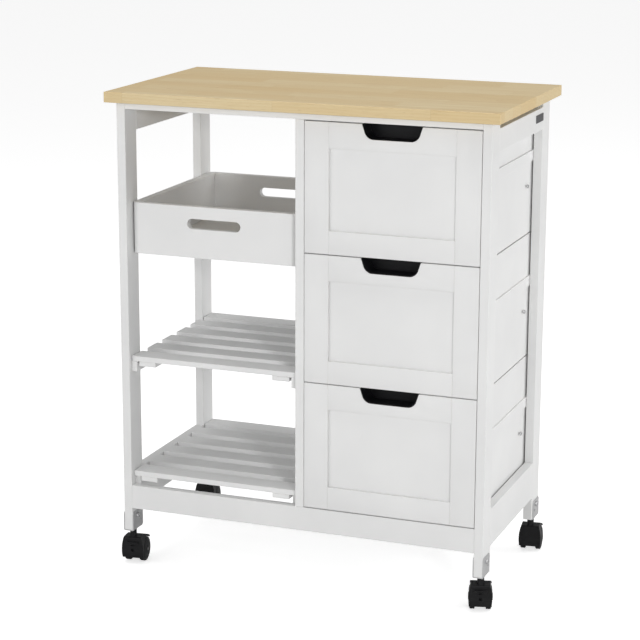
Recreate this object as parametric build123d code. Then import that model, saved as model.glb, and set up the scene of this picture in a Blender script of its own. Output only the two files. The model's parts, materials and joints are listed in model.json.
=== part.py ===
from build123d import *
import os

# Kitchen island cart: wooden frame on four twin-wheel casters, a solid wood top,
# three drawers on the right, a pull-out tray and two slatted shelves on the left.
# Millimetres. +X to the right, +Y to the rear, +Z up, floor at Z = 0.
# The model is drawn about the middle of the frame and shifted on export so that
# the origin is the middle of the whole footprint, trailing casters included.

# --- driving dimensions -------------------------------------------------------
TOP_LENGTH = 670.0
TOP_DEPTH = 370.0
TOP_THICKNESS = 17.5
CART_HEIGHT = 820.0

FRAME_LENGTH = 638.0
FRAME_DEPTH = 342.0
BOARD = 15.0
LEG_DEPTH = 42.0
LEG_BOTTOM = 66.0
EDGE_ROUND = 0.8

TOP_RAIL_THICKNESS = 11.0
BOTTOM_RAIL_LOW = 106.0
BOTTOM_RAIL_HIGH = 147.0
SIDE_BOTTOM_RAIL_HIGH = 170.0
SIDE_TOP_RAIL_LOW = 752.0
SIDE_TOP_RAIL_HIGH = 789.0
DIVIDER_LEFT = -5.0

STRIP_THICKNESS = 10.0
STRIP_HEIGHT = 18.0
STRIP_REAR = 153.0
DRAWER_STRIP_FRONT = -153.0
TRAY_STRIP_FRONT = -141.0

DRAWER_COUNT = 3
DRAWER_GAP = 1.8
DRAWER_FRONT_THICKNESS = 16.0
DRAWER_SIDE_GAP = 2.5
DRAWER_BOARD = 12.0
DRAWER_BOX_REAR = 155.0
DRAWER_BOX_HEIGHT = 212.0
DRAWER_BOTTOM_THICKNESS = 4.0
DRAWER_BOTTOM_RISE = 8.0
DRAWER_STRIP_RISE = 121.5
GROOVE_DEPTH = 8.6
GROOVE_TOP_PLAY = 0.2
GROOVE_BOTTOM_PLAY = 0.6
STILE_WIDTH = 41.0
FRONT_TOP_RAIL = 42.0
FRONT_BOTTOM_RAIL = 38.0
PANEL_THICKNESS = 6.0
PANEL_SETBACK = 5.0

GRIP_TOP_WIDTH = 100.0
GRIP_BOTTOM_WIDTH = 84.4
GRIP_DEPTH = 24.0
GRIP_CORNER = 15.0
GRIP_WALL = 1.5
GRIP_POCKET = 34.0
GRIP_SET_IN = 0.6
GRIP_LOW_SHARE = 0.73

STOP_SCREW_Y = 95.0
STOP_SCREW_RISE = 83.0
STOP_SCREW_REACH = 5.2
STOP_SCREW_RADIUS = 1.75
STOP_SCREW_HEAD_RADIUS = 3.5
STOP_SCREW_BITE = 9.0

TRAY_LEFT = -302.5
TRAY_RIGHT = -6.5
TRAY_FRONT = -155.0
TRAY_REAR = 168.0
TRAY_BOTTOM = 549.0
TRAY_HEIGHT = 86.0
TRAY_END_BOARD = 12.0
TRAY_SIDE_BOARD = 14.0
TRAY_CORNER = 11.5
TRAY_FLOOR = 6.0
TRAY_FLOOR_RISE = 4.0
TRAY_GROOVE_DEPTH = 9.1
TRAY_STRIP_LOW = 575.0
TRAY_SLOT_LENGTH = 95.0
TRAY_SLOT_HEIGHT = 17.0
TRAY_SLOT_CENTRE = 606.0

SHELF_TOPS = {"upper": 373.7, "lower": 171.5}
SHELF_FRONT = -163.0
SHELF_REAR = 170.5
SLAT_COUNT = 6
SLAT_WIDTH = 38.0
SLAT_THICKNESS = 9.0
SHELF_END_PLAY = 1.0
BATTEN_WIDTH = 30.0
BATTEN_THICKNESS = 8.0
BATTEN_INSET = 14.0

PLATE_FRONT = 84.0
PLATE_LENGTH = 44.0
PLATE_HEIGHT = 13.0
PLATE_LOW = 767.0
PLATE_THICKNESS = 1.0
PLATE_CORNER = 1.5

STEEL = 1.5
BRACKET_DEPTH = 36.0
BRACKET_HIGH = 98.0
BRACKET_CORNER = 4.0
BRACKET_HOLE_RADIUS = 2.2
BRACKET_HOLE_OFFSET = 9.0
STEM_INSET = 18.0
STEM_RADIUS = 4.0
STEM_LOW = 37.0
STEM_HIGH = 80.0
BOLT_RADIUS = 2.5
BOLT_HEIGHT = 89.0
BOLT_HEAD_RADIUS = 4.5
BOLT_HEAD_HEIGHT = 2.6
BOLT_HEAD_ROUND = 1.5
FIT = 0.05

WHEEL_RADIUS = 21.0
CASTER_TRAIL = 18.0
CASTER_SWIVEL = {"front_left": 7.0, "front_right": 16.0, "rear_left": 7.0, "rear_right": 8.0}
WHEEL_INNER = 9.1
WHEEL_TREAD_EDGE = 16.6
WHEEL_OUTER = 20.3
WHEEL_DOME = (13.0, 19.4)
HUB_RADIUS = 6.0
HOOD_RADIUS = 25.4
HOOD_CLEARANCE = 1.4
HOOD_REAR_ANGLE = 50.0
HOOD_REAR_CUT = 20.0
WEB_HALF = 8.4
AXLE_RADIUS = 2.5
AXLE_HALF = 19.7
HOOD_TOP = 49.0
HOOD_LOW = 11.0
HOOD_NECK_LOW = 26.0
HOOD_TOP_ROUND = 3.0
HOOD_TOP_HALF = 15.5
HOOD_WAIST_HALF = 19.4
HOOD_WAIST_HEIGHT = 22.0
HOOD_SHOULDER = (18.6, 36.0)
HOOD_FOOT = (18.2, 5.0)
COLLAR_RADIUS = 5.8
COLLAR_TOP = 62.5
BRAKE_LOW = 36.0
BRAKE_HIGH = 41.0
BRAKE_HALF = 11.0
BRAKE_NECK = 2.5
BRAKE_ROUND = 0.9
BRAKE_TAB_THICKNESS = 2.8
BRAKE_SLOT_PLAY = 0.4
BRAKE_SLOT_DEPTH = 2.7
BRAKE_SWING = 3.0
HOOD_HOLE_HALF = 2.4
HOOD_HOLE_LOW = 22.5
HOOD_HOLE_HIGH = 28.0

SCREW_RADIUS = 2.0
SCREW_HEAD_RADIUS = 4.0
SCREW_HEAD_HEIGHT = 2.2
SCREW_LENGTH = 22.0
SCREW_COLUMNS = (-200.0, 0.0, 200.0)

# --- worked out from them -----------------------------------------------------
HALF_X = FRAME_LENGTH / 2
HALF_Y = FRAME_DEPTH / 2
INNER_X = HALF_X - BOARD
LEG_INNER_Y = HALF_Y - LEG_DEPTH
TOP_LOW = CART_HEIGHT - TOP_THICKNESS
TOP_RAIL_LOW = TOP_LOW - TOP_RAIL_THICKNESS
DIVIDER_RIGHT = DIVIDER_LEFT + BOARD
BAY_MIDDLE = (DIVIDER_RIGHT + INNER_X) / 2
LEFT_BAY_MIDDLE = (DIVIDER_LEFT - INNER_X) / 2
DRAWER_PITCH = (TOP_RAIL_LOW - BOTTOM_RAIL_HIGH - DRAWER_GAP) / DRAWER_COUNT
DRAWER_HEIGHT = DRAWER_PITCH - DRAWER_GAP
GROOVE_RISE = -GROOVE_BOTTOM_PLAY, STRIP_HEIGHT + GROOVE_TOP_PLAY
STEM_X = INNER_X + BOARD / 2
STEM_Y = HALF_Y - STEM_INSET

os.makedirs("parts", exist_ok=True)


def block(x_low, x_high, y_low, y_high, z_low, z_high, rounding=0.0):
    """A board between the given limits, with all its edges eased."""
    size = (x_high - x_low, y_high - y_low, z_high - z_low)
    centre = ((x_high + x_low) / 2, (y_high + y_low) / 2, (z_high + z_low) / 2)
    board = Pos(*centre) * Box(*size)
    if rounding:
        board = fillet(board.edges(), rounding)
    return board


def rod(start, direction, radius, length):
    """A straight round bar from a point along a direction."""
    return extrude(Plane(origin=start, z_dir=direction) * Circle(radius), amount=length)


def save(name, solids):
    """Move solids to the export origin and write them as one node."""
    moved = [Pos(0, origin_shift, 0) * solid for one in solids for solid in one.solids()]
    shape = moved[0] if len(moved) == 1 else Compound(children=moved)
    export_step(shape, f"parts/{name}.step")


def mirrored_pair(solid, x_plane):
    """The solid and its mirror image about a plane of constant X."""
    return [solid, mirror(solid, about=Plane.YZ.offset(x_plane))]


# --- frame ----------------------------------------------------------------------
def screw_places():
    """Plan positions of the screws that hold the top to the flat rails."""
    row = HALF_Y - LEG_DEPTH / 2
    return [(x, y) for y in (-row, row) for x in SCREW_COLUMNS]


def top_screw(x, y, play=0.0):
    """Countersunk wood screw driven up through a rail, or the hole for it."""
    shank = Pos(x, y, TOP_RAIL_LOW + SCREW_LENGTH / 2) * Cylinder(SCREW_RADIUS + play, SCREW_LENGTH)
    head = Pos(x, y, TOP_RAIL_LOW + SCREW_HEAD_HEIGHT / 2) * Cone(
        SCREW_HEAD_RADIUS + play, SCREW_RADIUS + play, SCREW_HEAD_HEIGHT)
    return shank + head


def make_top():
    """Solid wood work surface."""
    top = block(-TOP_LENGTH / 2, TOP_LENGTH / 2, -TOP_DEPTH / 2, TOP_DEPTH / 2,
                TOP_LOW, CART_HEIGHT, 1.2)
    for x, y in screw_places():
        top -= top_screw(x, y, FIT)
    save("top_board", [top])
    save("top_board_screws", [top_screw(x, y) for x, y in screw_places()])


def make_legs():
    """Four legs, each bored from below for a caster stem and across for a bolt."""
    for name_y, side_y in (("front", -1), ("rear", 1)):
        for name_x, side_x in (("left", -1), ("right", 1)):
            y_limits = sorted((side_y * HALF_Y, side_y * LEG_INNER_Y))
            x_limits = sorted((side_x * HALF_X, side_x * INNER_X))
            leg = block(*x_limits, *y_limits, LEG_BOTTOM, TOP_LOW, EDGE_ROUND)
            bore_depth = STEM_HIGH + 1 - LEG_BOTTOM
            leg -= Pos(side_x * STEM_X, side_y * STEM_Y, LEG_BOTTOM + bore_depth / 2) * Cylinder(
                STEM_RADIUS + FIT, bore_depth)
            leg -= rod((x_limits[0] - 1, side_y * STEM_Y, BOLT_HEIGHT), (1, 0, 0),
                       BOLT_RADIUS + FIT, BOARD + 2)
            save(f"leg_{name_y}_{name_x}", [leg])


def make_rails():
    """Rails between the legs, and the divider between the two bays."""
    for name, side in (("front", -1), ("rear", 1)):
        flat_limits = sorted((side * HALF_Y, side * LEG_INNER_Y))
        flat = block(-INNER_X, INNER_X, *flat_limits, TOP_RAIL_LOW, TOP_LOW, EDGE_ROUND)
        for x, y in screw_places():
            flat -= top_screw(x, y, FIT)
        save(f"{name}_top_rail", [flat])
        low_limits = sorted((side * HALF_Y, side * (HALF_Y - BOARD)))
        save(f"{name}_bottom_rail", [block(-INNER_X, INNER_X, *low_limits,
                                           BOTTOM_RAIL_LOW, BOTTOM_RAIL_HIGH, EDGE_ROUND)])
    top_side = block(INNER_X, HALF_X, -LEG_INNER_Y, LEG_INNER_Y,
                     SIDE_TOP_RAIL_LOW, SIDE_TOP_RAIL_HIGH, EDGE_ROUND)
    save("side_top_rails", mirrored_pair(top_side, 0))
    low_side = block(INNER_X, HALF_X, -LEG_INNER_Y, LEG_INNER_Y,
                     BOTTOM_RAIL_LOW, SIDE_BOTTOM_RAIL_HIGH, EDGE_ROUND)
    save("side_bottom_rails", mirrored_pair(low_side, 0))
    stiles = [block(DIVIDER_LEFT, DIVIDER_RIGHT, *sorted((side * HALF_Y, side * LEG_INNER_Y)),
                    BOTTOM_RAIL_HIGH, TOP_RAIL_LOW, EDGE_ROUND) for side in (-1, 1)]
    save("divider_stiles", stiles)
    cross_rails = [block(DIVIDER_LEFT, DIVIDER_RIGHT, -LEG_INNER_Y, LEG_INNER_Y,
                         SIDE_TOP_RAIL_LOW, SIDE_TOP_RAIL_HIGH, EDGE_ROUND),
                   block(DIVIDER_LEFT, DIVIDER_RIGHT, -(HALF_Y - BOARD), HALF_Y - BOARD,
                         BOTTOM_RAIL_LOW, BOTTOM_RAIL_HIGH, EDGE_ROUND)]
    save("divider_rails", cross_rails)


def strip(x_low, z_low, front):
    """One wooden strip, on which a drawer, the tray or a shelf hangs or rests."""
    return block(x_low, x_low + STRIP_THICKNESS, front, STRIP_REAR,
                 z_low, z_low + STRIP_HEIGHT, EDGE_ROUND)


def drawer_low(index):
    """Height of the lower edge of a drawer front, counted from the top drawer."""
    return TOP_RAIL_LOW - (index + 1) * DRAWER_PITCH


def strip_pair(x_left, x_right, z_low, front):
    """Strips facing each other across a bay."""
    return [strip(x_left, z_low, front), strip(x_right - STRIP_THICKNESS, z_low, front)]


def make_strips():
    """Runner strips for the drawers and the tray, and cleats for the shelves."""
    right_bay = []
    for index in range(DRAWER_COUNT):
        z_low = drawer_low(index) + DRAWER_STRIP_RISE
        right_bay += strip_pair(DIVIDER_RIGHT, INNER_X, z_low, DRAWER_STRIP_FRONT)
    save("drawer_runner_strips", right_bay)
    left_bay = strip_pair(-INNER_X, DIVIDER_LEFT, TRAY_STRIP_LOW, TRAY_STRIP_FRONT)
    for top in SHELF_TOPS.values():
        z_low = top - SLAT_THICKNESS - STRIP_HEIGHT
        behind_rail = z_low < BOTTOM_RAIL_HIGH
        front = BOARD - HALF_Y if behind_rail else SHELF_FRONT
        left_bay += strip_pair(-INNER_X, DIVIDER_LEFT, z_low, front)
    save("tray_and_shelf_strips", left_bay)


def make_plate():
    """Plain metal label plate on the right-hand top rail."""
    plate = block(HALF_X, HALF_X + PLATE_THICKNESS, PLATE_FRONT, PLATE_FRONT + PLATE_LENGTH,
                  PLATE_LOW, PLATE_LOW + PLATE_HEIGHT)
    plate = fillet(plate.edges().filter_by(Axis.X), PLATE_CORNER)
    save("side_plate", [plate])


# --- drawers --------------------------------------------------------------------
def grip_outline(margin):
    """Finger cut-out seen from the front, its top edge at height zero."""
    half_top = GRIP_TOP_WIDTH / 2 - margin
    half_low = GRIP_BOTTOM_WIDTH / 2 - margin * GRIP_LOW_SHARE
    low = margin - GRIP_DEPTH
    face = Plane.XZ * Polygon((-half_top, 0), (-half_low, low), (half_low, low), (half_top, 0),
                              align=None)
    corners = face.vertices().sort_by(Axis.Z)[:2]
    return fillet(corners, GRIP_CORNER - margin)


def grip_block(margin, y_low, y_high, centre_x, top):
    """The cut-out's outline carried from one Y to another."""
    face = Pos(centre_x, y_high, top) * grip_outline(margin)
    return extrude(face, amount=y_high - y_low)


def make_drawer_front(name, low):
    """Frame-and-panel front: two stiles, two rails and a set-back panel."""
    high = low + DRAWER_HEIGHT
    left = DIVIDER_RIGHT + DRAWER_GAP / 2
    right = INNER_X - DRAWER_GAP / 2
    face = -HALF_Y
    back = face + DRAWER_FRONT_THICKNESS
    stile = block(left, left + STILE_WIDTH, face, back, low, high, EDGE_ROUND)
    other = block(right - STILE_WIDTH, right, face, back, low, high, EDGE_ROUND)
    rail_left = left + STILE_WIDTH
    rail_right = right - STILE_WIDTH
    top_rail = block(rail_left, rail_right, face, back, high - FRONT_TOP_RAIL, high, EDGE_ROUND)
    top_rail -= grip_block(0, face - 1, back + 1, BAY_MIDDLE, high + 0.01)
    low_rail = block(rail_left, rail_right, face, back, low, low + FRONT_BOTTOM_RAIL, EDGE_ROUND)
    panel_face = face + PANEL_SETBACK
    panel = block(rail_left, rail_right, panel_face, panel_face + PANEL_THICKNESS,
                  low + FRONT_BOTTOM_RAIL, high - FRONT_TOP_RAIL)
    save(f"{name}_front", [stile, other, top_rail, low_rail, panel])


def make_grip_pocket(name, low):
    """Moulded finger pocket that lines the cut-out and closes it behind."""
    high = low + DRAWER_HEIGHT
    face = -HALF_Y + GRIP_SET_IN
    rear = face + GRIP_POCKET
    shell = grip_block(FIT, face, rear, BAY_MIDDLE, high)
    shell -= grip_block(GRIP_WALL, face - 1, rear - GRIP_WALL, BAY_MIDDLE, high + 0.01)
    save(f"{name}_grip_pocket", [shell])


def stop_screw(low, direction, play=0.0):
    """Screw standing out of a drawer side, which meets the leg at full pull."""
    if direction > 0:
        outer = INNER_X - DRAWER_SIDE_GAP
    else:
        outer = DIVIDER_RIGHT + DRAWER_SIDE_GAP
    z = low + STOP_SCREW_RISE
    start = outer - direction * STOP_SCREW_BITE
    head_from_board = STOP_SCREW_REACH - BOLT_HEAD_HEIGHT
    screw = rod((start, STOP_SCREW_Y, z), (direction, 0, 0), STOP_SCREW_RADIUS + play,
                STOP_SCREW_BITE + head_from_board + EDGE_ROUND / 2)
    head = rod((outer + direction * head_from_board, STOP_SCREW_Y, z), (direction, 0, 0),
               STOP_SCREW_HEAD_RADIUS, BOLT_HEAD_HEIGHT)
    return screw if play else screw + head


def make_drawer_box(name, low):
    """Two grooved sides, a back and a thin bottom."""
    outer_left = DIVIDER_RIGHT + DRAWER_SIDE_GAP
    outer_right = INNER_X - DRAWER_SIDE_GAP
    front = -HALF_Y + DRAWER_FRONT_THICKNESS
    high = low + DRAWER_BOX_HEIGHT
    groove_low, groove_high = (low + DRAWER_STRIP_RISE + rise for rise in GROOVE_RISE)
    side = block(outer_right - DRAWER_BOARD, outer_right, front, DRAWER_BOX_REAR,
                 low, high, EDGE_ROUND)
    side -= block(outer_right - GROOVE_DEPTH, outer_right + 1, front - 1, DRAWER_BOX_REAR + 1,
                  groove_low, groove_high)
    side -= stop_screw(low, 1, FIT)
    save(f"{name}_sides", mirrored_pair(side, BAY_MIDDLE))
    inner_left = outer_left + DRAWER_BOARD
    inner_right = outer_right - DRAWER_BOARD
    floor_low = low + DRAWER_BOTTOM_RISE
    floor_high = floor_low + DRAWER_BOTTOM_THICKNESS
    save(f"{name}_back", [block(inner_left, inner_right, DRAWER_BOX_REAR - DRAWER_BOARD,
                                DRAWER_BOX_REAR, floor_high, high, EDGE_ROUND)])
    save(f"{name}_floor", [block(inner_left, inner_right, front, DRAWER_BOX_REAR,
                                  floor_low, floor_high)])
    save(f"{name}_stop_screws", [stop_screw(low, 1), stop_screw(low, -1)])


def make_drawers():
    """Upper, middle and lower drawer, all alike."""
    for index, place in enumerate(("upper", "middle", "lower")):
        name = f"drawer_{place}"
        low = drawer_low(index)
        make_drawer_front(name, low)
        make_grip_pocket(name, low)
        make_drawer_box(name, low)


# --- tray -----------------------------------------------------------------------
def tray_end(y_low, y_high, outer_y):
    """Front or back of the tray, with rounded outer corners and a hand slot."""
    end = block(TRAY_LEFT, TRAY_RIGHT, y_low, y_high, TRAY_BOTTOM, TRAY_BOTTOM + TRAY_HEIGHT)
    upright = end.edges().filter_by(Axis.Z)
    outer = [edge for edge in upright if abs(edge.center().Y - outer_y) < 0.1]
    end = fillet(outer, TRAY_CORNER)
    slot = Plane.XZ * SlotOverall(TRAY_SLOT_LENGTH, TRAY_SLOT_HEIGHT)
    centre = Pos((TRAY_LEFT + TRAY_RIGHT) / 2, y_high + 1, TRAY_SLOT_CENTRE)
    end -= extrude(centre * slot, amount=y_high - y_low + 2)
    rims = end.edges().filter_by(lambda edge: edge.center().Z > TRAY_BOTTOM + TRAY_HEIGHT - 0.1)
    return fillet(rims, EDGE_ROUND)


def make_tray():
    """Open box that slides on two strips and pulls right out."""
    front_inner = TRAY_FRONT + TRAY_END_BOARD
    rear_inner = TRAY_REAR - TRAY_END_BOARD
    high = TRAY_BOTTOM + TRAY_HEIGHT
    save("tray_front", [tray_end(TRAY_FRONT, front_inner, TRAY_FRONT)])
    middle = (TRAY_LEFT + TRAY_RIGHT) / 2
    groove_limits = [TRAY_STRIP_LOW + rise for rise in GROOVE_RISE]
    groove = block(TRAY_RIGHT - TRAY_GROOVE_DEPTH, TRAY_RIGHT + 1, front_inner - 1, TRAY_REAR + 1,
                   *groove_limits)
    back = tray_end(rear_inner, TRAY_REAR, TRAY_REAR)
    for cut in mirrored_pair(groove, middle):
        back -= cut
    save("tray_back", [back])
    side = block(TRAY_RIGHT - TRAY_SIDE_BOARD, TRAY_RIGHT, front_inner, rear_inner,
                 TRAY_BOTTOM, high, EDGE_ROUND)
    side -= groove
    save("tray_sides", mirrored_pair(side, middle))
    save("tray_floor", [block(TRAY_LEFT + TRAY_SIDE_BOARD, TRAY_RIGHT - TRAY_SIDE_BOARD,
                              front_inner, rear_inner, TRAY_BOTTOM + TRAY_FLOOR_RISE,
                              TRAY_BOTTOM + TRAY_FLOOR_RISE + TRAY_FLOOR)])


# --- slatted shelves ------------------------------------------------------------
def make_shelf(place, top):
    """Six slats screwed to two battens that drop between the strips."""
    left = -INNER_X + SHELF_END_PLAY
    right = DIVIDER_LEFT - SHELF_END_PLAY
    under = top - SLAT_THICKNESS
    pitch = (SHELF_REAR - SHELF_FRONT - SLAT_WIDTH) / (SLAT_COUNT - 1)
    slats = []
    for index in range(SLAT_COUNT):
        y_low = SHELF_FRONT + index * pitch
        slats.append(block(left, right, y_low, y_low + SLAT_WIDTH, under, top, EDGE_ROUND))
    save(f"shelf_{place}_slats", slats)
    batten = block(-INNER_X + BATTEN_INSET, -INNER_X + BATTEN_INSET + BATTEN_WIDTH,
                   SHELF_FRONT, SHELF_REAR, under - BATTEN_THICKNESS, under, EDGE_ROUND)
    save(f"shelf_{place}_battens", mirrored_pair(batten, LEFT_BAY_MIDDLE))


# --- caster brackets and stems --------------------------------------------------
def caster_places():
    """Name and side of each caster."""
    return [(f"{name_y}_{name_x}", side_x, side_y)
            for name_y, side_y in (("front", -1), ("rear", 1))
            for name_x, side_x in (("left", -1), ("right", 1))]


def bracket(side_x, side_y):
    """U-shaped steel saddle folded round the foot of a leg."""
    x = side_x * STEM_X
    y_limits = sorted((side_y * HALF_Y, side_y * (HALF_Y - BRACKET_DEPTH)))
    half = BOARD / 2
    saddle = block(x - half - STEEL, x + half + STEEL, *y_limits, LEG_BOTTOM - STEEL, BRACKET_HIGH)
    saddle -= block(x - half, x + half, y_limits[0] - 1, y_limits[1] + 1,
                    LEG_BOTTOM, BRACKET_HIGH + 1)
    bends = saddle.edges().filter_by(Axis.Y).sort_by(Axis.Z)[:2]
    saddle = fillet(bends, STEEL)
    across = saddle.edges().filter_by(Axis.X)
    corners = [edge for edge in across if edge.center().Z > BRACKET_HIGH - 1]
    saddle = fillet(corners, BRACKET_CORNER)
    y = side_y * STEM_Y
    left = x - half - 2 * STEEL
    width = BOARD + 4 * STEEL
    saddle -= rod((left, y, BOLT_HEIGHT), (1, 0, 0), BOLT_RADIUS + FIT, width)
    saddle -= rod((left, y - side_y * BRACKET_HOLE_OFFSET, BOLT_HEIGHT - BRACKET_HOLE_OFFSET),
                  (1, 0, 0), BRACKET_HOLE_RADIUS, width)
    saddle -= rod((x, y, LEG_BOTTOM - 2 * STEEL), (0, 0, 1), STEM_RADIUS + FIT, 3 * STEEL)
    return saddle


def bracket_bolt(side_x, side_y):
    """Cross bolt through bracket and leg with a low round head at each end."""
    x = side_x * STEM_X
    half = BOARD / 2 + STEEL
    y = side_y * STEM_Y
    shank = rod((x - half, y, BOLT_HEIGHT), (1, 0, 0), BOLT_RADIUS, 2 * half)
    head = Pos(x + half + BOLT_HEAD_HEIGHT / 2, y, BOLT_HEIGHT) * Rot(0, 90, 0) * Cylinder(
        BOLT_HEAD_RADIUS, BOLT_HEAD_HEIGHT)
    head = fillet(head.edges().sort_by(Axis.X)[-1], BOLT_HEAD_ROUND)
    other = mirror(head, about=Plane.YZ.offset(x))
    return shank + head + other


def make_bracket_group():
    """Brackets, bolts and caster stems, one of each at every leg."""
    places = caster_places()
    save("caster_brackets", [bracket(side_x, side_y) for name, side_x, side_y in places])
    save("bracket_bolts", [bracket_bolt(side_x, side_y) for name, side_x, side_y in places])
    stems = [rod((side_x * STEM_X, side_y * STEM_Y, STEM_LOW), (0, 0, 1), STEM_RADIUS,
                 STEM_HIGH - STEM_LOW) for name, side_x, side_y in places]
    save("caster_stems", stems)


# --- casters, drawn with the stem on the Z axis and trailing towards +Y ----------
def side_disc(radius, x_low, x_high):
    """A disc round the wheel axle between two X values."""
    return rod((x_low, CASTER_TRAIL, WHEEL_RADIUS), (1, 0, 0), radius, x_high - x_low)


def hood_side_view():
    """Outline of the hood from the side: round over the wheels, square at the stem."""
    disc = side_disc(HOOD_RADIUS, -WHEEL_OUTER, WHEEL_OUTER)
    reach = 2 * HOOD_RADIUS
    lower = block(-reach, reach, CASTER_TRAIL - reach, CASTER_TRAIL + reach, -reach, HOOD_LOW)
    cut = Pos(0, HOOD_REAR_CUT, -reach / 2) * Box(reach, 2 * HOOD_RADIUS, reach)
    rear = Pos(0, CASTER_TRAIL, WHEEL_RADIUS) * Rot(HOOD_REAR_ANGLE, 0, 0) * cut
    neck = block(-WHEEL_OUTER, WHEEL_OUTER, CASTER_TRAIL - HOOD_RADIUS, CASTER_TRAIL,
                 HOOD_NECK_LOW, HOOD_TOP)
    neck = fillet(neck.edges().filter_by(Axis.X).sort_by(Axis.Z)[-2:], HOOD_TOP_ROUND)
    return disc + neck - lower - rear


def hood_front_view():
    """Barrel outline of the hood from the front, carried along Y."""
    top = (HOOD_TOP_HALF, HOOD_TOP)
    waist = (HOOD_WAIST_HALF, HOOD_WAIST_HEIGHT)
    half = [ThreePointArc(top, HOOD_SHOULDER, waist), Line(waist, HOOD_FOOT)]
    other = [mirror(edge, about=Plane.YZ) for edge in half]
    base = Line(HOOD_FOOT, (-HOOD_FOOT[0], HOOD_FOOT[1]))
    lid = Line((-HOOD_TOP_HALF, HOOD_TOP), top)
    outline = make_face([*half, *other, base, lid])
    rear = CASTER_TRAIL + 2 * HOOD_RADIUS
    return extrude(Pos(0, rear, 0) * (Plane.XZ * outline), amount=4 * HOOD_RADIUS)


def make_housing(with_brake):
    """Moulded hood and web that carry the axle and turn on the stem."""
    hood = hood_side_view() & hood_front_view()
    pocket = WHEEL_RADIUS + HOOD_CLEARANCE
    hood -= side_disc(pocket, WEB_HALF, WHEEL_OUTER + 10)
    hood -= side_disc(pocket, -WHEEL_OUTER - 10, -WEB_HALF)
    hood += side_disc(HUB_RADIUS, -WEB_HALF, WEB_HALF)
    collar_low = HOOD_TOP - 2
    collar = Cylinder(COLLAR_RADIUS, COLLAR_TOP - collar_low)
    hood += Pos(0, 0, (collar_low + COLLAR_TOP) / 2) * collar
    hood -= side_disc(AXLE_RADIUS, -WEB_HALF - 1, WEB_HALF + 1)
    hood -= rod((0, 0, STEM_LOW - 1), (0, 0, 1), STEM_RADIUS + FIT, COLLAR_TOP)
    if with_brake:
        face = CASTER_TRAIL - HOOD_RADIUS
        slot = BRAKE_NECK + BRAKE_SLOT_PLAY
        hood -= block(-slot, slot, face - 3, face + BRAKE_SLOT_DEPTH,
                      BRAKE_LOW - BRAKE_SWING, BRAKE_HIGH - BRAKE_SLOT_PLAY)
        hood -= block(-HOOD_HOLE_HALF, HOOD_HOLE_HALF, face - 3, face + 4,
                      HOOD_HOLE_LOW, HOOD_HOLE_HIGH)
    return hood


def make_brake():
    """Foot tab on the hood's front that tips down round the axle to lock the wheels."""
    face = CASTER_TRAIL - HOOD_RADIUS
    back = face - BRAKE_SLOT_PLAY
    tab = block(-BRAKE_HALF, BRAKE_HALF, back - BRAKE_TAB_THICKNESS, back, BRAKE_LOW, BRAKE_HIGH)
    tab = fillet(tab.edges().filter_by(Axis.X) + tab.edges().filter_by(Axis.Z), BRAKE_ROUND)
    neck = block(-BRAKE_NECK, BRAKE_NECK, back - 1, face + BRAKE_SLOT_DEPTH - BRAKE_SLOT_PLAY,
                 BRAKE_LOW + 1, BRAKE_HIGH - 1)
    return tab + neck


def make_wheel():
    """One wheel of the pair: flat tread inside, domed cover outside."""
    bore = AXLE_RADIUS + FIT
    profile = make_face([
        Line((bore, WHEEL_INNER), (WHEEL_RADIUS - EDGE_ROUND, WHEEL_INNER)),
        Line((WHEEL_RADIUS - EDGE_ROUND, WHEEL_INNER), (WHEEL_RADIUS, WHEEL_INNER + EDGE_ROUND)),
        Line((WHEEL_RADIUS, WHEEL_INNER + EDGE_ROUND), (WHEEL_RADIUS, WHEEL_TREAD_EDGE)),
        ThreePointArc((WHEEL_RADIUS, WHEEL_TREAD_EDGE), WHEEL_DOME, (bore, WHEEL_OUTER)),
        Line((bore, WHEEL_OUTER), (bore, WHEEL_INNER))])
    wheel = revolve(Plane.XZ * profile, Axis.Z)
    return Pos(0, CASTER_TRAIL, WHEEL_RADIUS) * Rot(0, 90, 0) * wheel


def caster_location(name, side_x, side_y):
    """Stem position of a caster, turned by its swivel angle."""
    return Pos(side_x * STEM_X, side_y * STEM_Y, 0) * Rot(0, 0, CASTER_SWIVEL[name])


def footprint_rear():
    """How far back the rear wheels reach."""
    pair = mirrored_pair(make_wheel(), 0)
    rear = [caster_location(*place) * wheel for place in caster_places() for wheel in pair]
    return max(wheel.bounding_box().max.Y for wheel in rear)


def make_casters():
    """Four twin-wheel casters. The front pair has a brake."""
    pair = mirrored_pair(make_wheel(), 0)
    axle = side_disc(AXLE_RADIUS, -AXLE_HALF, AXLE_HALF)
    for name, side_x, side_y in caster_places():
        place = caster_location(name, side_x, side_y)
        with_brake = side_y < 0
        save(f"caster_{name}_housing", [place * make_housing(with_brake)])
        save(f"caster_{name}_axle", [place * axle])
        save(f"caster_{name}_wheels", [place * solid for solid in pair])
        if with_brake:
            save(f"caster_{name}_brake", [place * make_brake()])


origin_shift = (TOP_DEPTH / 2 - footprint_rear()) / 2
make_top()
make_legs()
make_rails()
make_strips()
make_plate()
make_drawers()
make_tray()
for shelf_place, shelf_top in SHELF_TOPS.items():
    make_shelf(shelf_place, shelf_top)
make_bracket_group()
make_casters()
print("origin shift", round(origin_shift, 3), "drawer pitch", round(DRAWER_PITCH, 3))
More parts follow.
